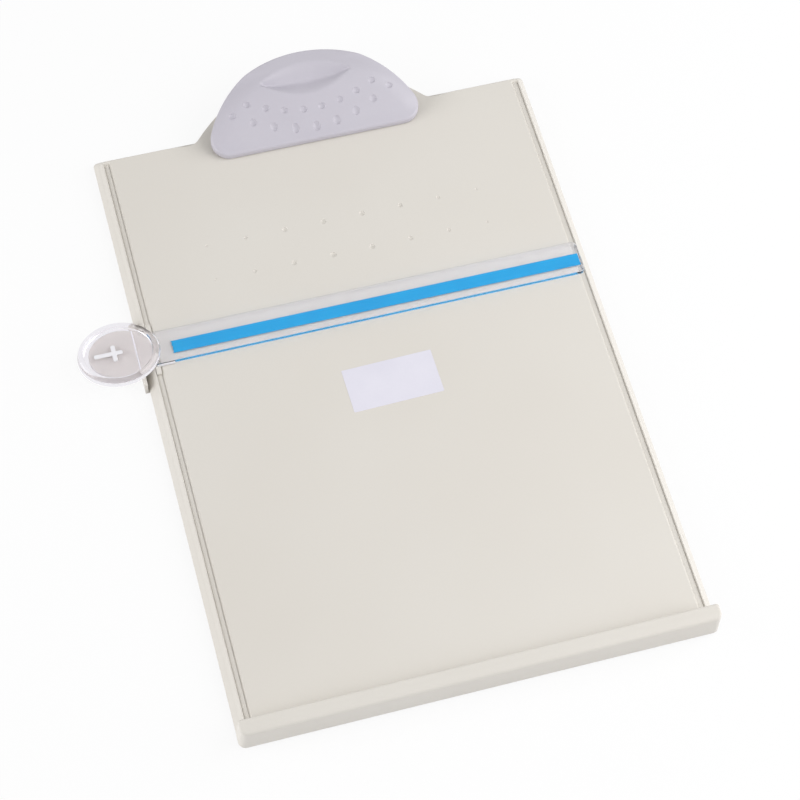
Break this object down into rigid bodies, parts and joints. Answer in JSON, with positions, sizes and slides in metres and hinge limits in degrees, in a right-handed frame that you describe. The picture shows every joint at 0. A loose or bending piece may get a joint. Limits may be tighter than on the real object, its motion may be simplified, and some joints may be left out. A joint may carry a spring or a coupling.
{
  "type": "copy holder with line guide",
  "caption": "Flat A4 copy holder: board with paper ledge, sprung clip, clear line guide with a blue stripe that slides on a side groove, and fold-out rear leg.",
  "frame": {"origin": "middle of the underside of the long rubber foot below the paper ledge", "axes": "+X right across the board, +Y up the board from the ledge to the clip, +Z out of the paper face"},
  "size_m": [0.2588, 0.3488, 0.0269],
  "materials": {
    "beige_plastic": "fine satin grain",
    "lilac_plastic": "fine satin grain",
    "clear_plastic": "clear, polished",
    "blue_film": "smooth",
    "white_print": "smooth",
    "label_paper": "coated",
    "foot_rubber": "matt",
    "screw_steel": "zinc plated",
    "bracket_steel": "zinc plated",
    "spring_steel": "drawn wire"
  },
  "bodies": {
    "board": {"board_front": "beige_plastic", "back_cover": "beige_plastic", "cover_screws": "screw_steel", "foot_strip": "foot_rubber", "upper_feet": "foot_rubber", "name_label": "label_paper", "clip_bracket": "bracket_steel", "clip_rivets": "screw_steel", "clip_hinge_pin": "screw_steel", "clip_pin_rings": "screw_steel", "clip_spring_left": "spring_steel", "clip_spring_right": "spring_steel", "stand_hinge_rod": "screw_steel"},
    "clip": {"clip_jaw": "lilac_plastic"},
    "guide": {"guide_strip": "clear_plastic", "guide_stripe": "blue_film", "thumb_knob": "clear_plastic", "knob_cross": "white_print", "guide_carriage": "beige_plastic", "carriage_hook": "beige_plastic", "carriage_screws": "screw_steel", "friction_pad": "foot_rubber"},
    "stand": {"stand_leg": "beige_plastic", "leg_tip": "foot_rubber"}
  },
  "joints": [
    {"name": "clip_hinge", "type": "hinge", "parent": "board", "child": "clip", "pos_m": [0, 0.316, 0.0143], "axis": [-1, 0, 0], "range_deg": [0, 22], "stiffness_Nm_per_rad": 0.3, "springref_deg": -28.65, "deforming": ["clip_spring_left", "clip_spring_right"]},
    {"name": "guide_slide", "type": "slide", "parent": "board", "child": "guide", "axis": [0, 1, 0], "range_m": [-0.179, 0.088]},
    {"name": "stand_hinge", "type": "hinge", "parent": "board", "child": "stand", "pos_m": [0, 0.187, 0.0047], "axis": [1, 0, 0], "range_deg": [0, 34]}
  ]
}
